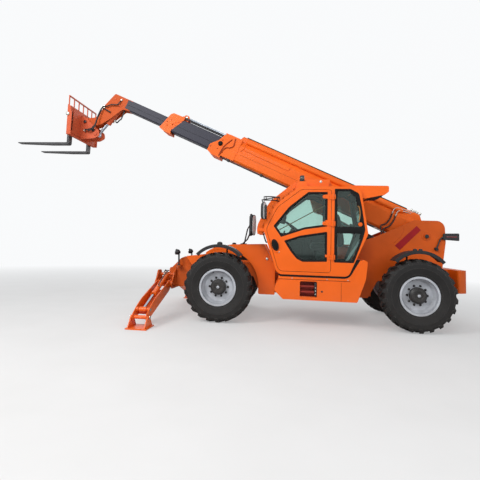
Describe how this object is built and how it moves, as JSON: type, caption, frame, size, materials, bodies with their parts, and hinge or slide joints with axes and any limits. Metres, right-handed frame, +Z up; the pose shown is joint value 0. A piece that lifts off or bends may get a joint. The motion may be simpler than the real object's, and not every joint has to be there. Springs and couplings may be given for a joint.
{
  "type": "telehandler",
  "caption": "Telescopic handler with a raised sectioned boom, pallet forks, glazed side cab, steered wheels and front stabiliser legs on the ground.",
  "frame": {"origin": "middle of the machine's footprint box, on the ground", "axes": "+X forward towards the forks, +Y to the driver's left where the cab is, +Z up"},
  "size_m": [8.98, 4.023, 4.6217],
  "materials": {
    "chassis_paint": "satin orange paint, darker where dusty",
    "body_paint": "satin orange paint",
    "boom_paint": "satin orange paint",
    "boom_grey": "satin slate-grey paint",
    "head_grey": "satin slate-grey paint",
    "axle_grey": "painted casting, dusty",
    "hub_black": "satin black",
    "tyre_rubber": "matt black",
    "rim_grey": "satin silver-grey paint",
    "cab_glass": "green-tinted glass",
    "seat_cover": "woven black cover",
    "cab_plastic": "moulded dark grey plastic",
    "engine_black": "dark casting",
    "lamp_black": "black plastic with clear lens",
    "cylinder_black": "satin black paint",
    "rod_chrome": "polished",
    "leg_paint": "satin orange paint",
    "carriage_paint": "satin black paint",
    "fork_steel": "black, worn along the blades"
  },
  "bodies": {
    "chassis": {"frame_sides": "chassis_paint", "frame_members": "chassis_paint", "front_body": "body_paint", "axles": "axle_grey", "side_tank": "body_paint", "engine_pod": "body_paint", "engine_block": "engine_black", "cab_shell": "body_paint", "cab_roof": "body_paint", "roof_guard": "body_paint", "cab_glass": "cab_glass", "cab_seat": "seat_cover", "cab_controls": "cab_plastic", "lamps_and_mirrors": "lamp_black"},
    "door": {"cab_door": "body_paint", "door_glass": "cab_glass"},
    "hood": {"engine_hood": "body_paint"},
    "boom": {"boom_outer": "boom_paint"},
    "boom_middle": {"boom_mid": "boom_grey"},
    "boom_head": {"boom_inner": "head_grey"},
    "fork_carriage": {"carriage": "carriage_paint", "forks": "fork_steel"},
    "lift_cylinder": {"lift_barrel": "cylinder_black"},
    "lift_piston": {"lift_rod": "rod_chrome"},
    "tilt_cylinder": {"tilt_barrel": "cylinder_black"},
    "tilt_piston": {"tilt_rod": "rod_chrome"},
    "front_left_knuckle": {"knuckle_front_left": "hub_black"},
    "front_left_wheel": {"rim_front_left": "rim_grey", "tyre_front_left": "tyre_rubber"},
    "front_right_knuckle": {"knuckle_front_right": "hub_black"},
    "front_right_wheel": {"rim_front_right": "rim_grey", "tyre_front_right": "tyre_rubber"},
    "rear_left_knuckle": {"knuckle_rear_left": "hub_black"},
    "rear_left_wheel": {"rim_rear_left": "rim_grey", "tyre_rear_left": "tyre_rubber"},
    "rear_right_knuckle": {"knuckle_rear_right": "hub_black"},
    "rear_right_wheel": {"rim_rear_right": "rim_grey", "tyre_rear_right": "tyre_rubber"},
    "stabiliser_left": {"stabiliser_leg_left": "leg_paint"},
    "pad_left": {"stabiliser_pad_left": "leg_paint"},
    "stabiliser_cylinder_left": {"stabiliser_barrel_left": "leg_paint"},
    "stabiliser_piston_left": {"stabiliser_rod_left": "rod_chrome"},
    "stabiliser_right": {"stabiliser_leg_right": "leg_paint"},
    "pad_right": {"stabiliser_pad_right": "leg_paint"},
    "stabiliser_cylinder_right": {"stabiliser_barrel_right": "leg_paint"},
    "stabiliser_piston_right": {"stabiliser_rod_right": "rod_chrome"}
  },
  "joints": [
    {"name": "boom_lift", "type": "hinge", "parent": "chassis", "child": "boom", "pos_m": [-3.89, 0, 1.66], "axis": [0, -1, 0], "range_deg": [-28, 42]},
    {"name": "boom_telescope", "type": "slide", "parent": "boom", "child": "boom_middle", "axis": [0.9135, 0, 0.4067], "range_m": [-0.72, 1.45]},
    {"name": "boom_extension", "type": "slide", "parent": "boom_middle", "child": "boom_head", "axis": [0.9135, 0, 0.4067], "range_m": [-0.72, 1.45]},
    {"name": "carriage_tilt", "type": "hinge", "parent": "boom_head", "child": "fork_carriage", "pos_m": [3.16971, 0, 3.98002], "axis": [0, -1, 0], "range_deg": [-30, 28]},
    {"name": "lift_cylinder_swing", "type": "hinge", "parent": "chassis", "child": "lift_cylinder", "pos_m": [-3.58, 0, 1.25], "axis": [0, -1, 0], "range_deg": [-28.78, 43.17]},
    {"name": "lift_cylinder_stroke", "type": "slide", "parent": "lift_cylinder", "child": "lift_piston", "axis": [0.8807, 0, 0.4736], "range_m": [-0.24095, 0.36142]},
    {"name": "tilt_cylinder_swing", "type": "hinge", "parent": "boom_head", "child": "tilt_cylinder", "pos_m": [2.39119, 0, 4.36899], "axis": [0, -1, 0], "range_deg": [-1.01, 0.94]},
    {"name": "tilt_cylinder_stroke", "type": "slide", "parent": "tilt_cylinder", "child": "tilt_piston", "axis": [0.6373, 0, -0.7706], "range_m": [-0.18474, 0.17242]},
    {"name": "cab_door_swing", "type": "hinge", "parent": "chassis", "child": "door", "pos_m": [-2.075, 1.188, 1.85], "axis": [0, 0, 1], "range_deg": [0, 100]},
    {"name": "engine_hood_lift", "type": "hinge", "parent": "chassis", "child": "hood", "pos_m": [-1.805, -0.48, 1.454], "axis": [-1, 0, 0], "range_deg": [0, 55]},
    {"name": "steer_front_left", "type": "hinge", "parent": "chassis", "child": "front_left_knuckle", "pos_m": [-0.08, 0.76, 0.625], "axis": [0, 0, 1], "range_deg": [-32, 32]},
    {"name": "roll_front_left", "type": "hinge", "parent": "front_left_knuckle", "child": "front_left_wheel", "pos_m": [-0.08, 0.9875, 0.625], "axis": [0, 1, 0], "continuous": true},
    {"name": "steer_front_right", "type": "hinge", "parent": "chassis", "child": "front_right_knuckle", "pos_m": [-0.08, -0.76, 0.625], "axis": [0, 0, 1], "range_deg": [-32, 32]},
    {"name": "roll_front_right", "type": "hinge", "parent": "front_right_knuckle", "child": "front_right_wheel", "pos_m": [-0.08, -0.9875, 0.625], "axis": [0, 1, 0], "continuous": true},
    {"name": "steer_rear_left", "type": "hinge", "parent": "chassis", "child": "rear_left_knuckle", "pos_m": [-3.53, 0.76, 0.625], "axis": [0, 0, 1], "range_deg": [-32, 32]},
    {"name": "roll_rear_left", "type": "hinge", "parent": "rear_left_knuckle", "child": "rear_left_wheel", "pos_m": [-3.53, 0.9875, 0.625], "axis": [0, 1, 0], "continuous": true},
    {"name": "steer_rear_right", "type": "hinge", "parent": "chassis", "child": "rear_right_knuckle", "pos_m": [-3.53, -0.76, 0.625], "axis": [0, 0, 1], "range_deg": [-32, 32]},
    {"name": "roll_rear_right", "type": "hinge", "parent": "rear_right_knuckle", "child": "rear_right_wheel", "pos_m": [-3.53, -0.9875, 0.625], "axis": [0, 1, 0], "continuous": true},
    {"name": "leg_swing_left", "type": "hinge", "parent": "chassis", "child": "stabiliser_left", "pos_m": [1.065, 0.6, 0.6], "axis": [1, 0, 0], "range_deg": [0, 85]},
    {"name": "pad_tilt_left", "type": "hinge", "parent": "stabiliser_left", "child": "pad_left", "pos_m": [1.065, 1.82153, 0.17], "axis": [1, 0, 0], "range_deg": [-25, 25]},
    {"name": "leg_cylinder_swing_left", "type": "hinge", "parent": "chassis", "child": "stabiliser_cylinder_left", "pos_m": [1.065, 0.42, 0.765], "axis": [1, 0, 0], "range_deg": [0, 77.01]},
    {"name": "leg_cylinder_stroke_left", "type": "slide", "parent": "stabiliser_cylinder_left", "child": "stabiliser_piston_left", "axis": [0, 0.9343, -0.3565], "range_m": [-0.28327, 0]},
    {"name": "leg_swing_right", "type": "hinge", "parent": "chassis", "child": "stabiliser_right", "pos_m": [1.065, -0.6, 0.6], "axis": [-1, 0, 0], "range_deg": [0, 85]},
    {"name": "pad_tilt_right", "type": "hinge", "parent": "stabiliser_right", "child": "pad_right", "pos_m": [1.065, -1.82153, 0.17], "axis": [-1, 0, 0], "range_deg": [-25, 25]},
    {"name": "leg_cylinder_swing_right", "type": "hinge", "parent": "chassis", "child": "stabiliser_cylinder_right", "pos_m": [1.065, -0.42, 0.765], "axis": [-1, 0, 0], "range_deg": [0, 77.01]},
    {"name": "leg_cylinder_stroke_right", "type": "slide", "parent": "stabiliser_cylinder_right", "child": "stabiliser_piston_right", "axis": [0, -0.9343, -0.3565], "range_m": [-0.28327, 0]}
  ],
  "couplings": [
    {"joint": "boom_extension", "follows": "boom_telescope", "ratio": 1},
    {"joint": "lift_cylinder_swing", "follows": "boom_lift", "ratio": 1.0077},
    {"joint": "lift_cylinder_stroke", "follows": "boom_lift", "m_per_rad": 0.48338},
    {"joint": "tilt_cylinder_swing", "follows": "carriage_tilt", "ratio": 0.03302},
    {"joint": "tilt_cylinder_stroke", "follows": "carriage_tilt", "m_per_rad": 0.3459},
    {"joint": "steer_front_right", "follows": "steer_front_left", "ratio": 1},
    {"joint": "steer_rear_right", "follows": "steer_rear_left", "ratio": 1},
    {"joint": "leg_cylinder_swing_left", "follows": "leg_swing_left", "ratio": 0.88829},
    {"joint": "leg_cylinder_stroke_left", "follows": "leg_swing_left", "m_per_rad": -0.1872},
    {"joint": "leg_cylinder_swing_right", "follows": "leg_swing_right", "ratio": 0.88829},
    {"joint": "leg_cylinder_stroke_right", "follows": "leg_swing_right", "m_per_rad": -0.1872}
  ]
}
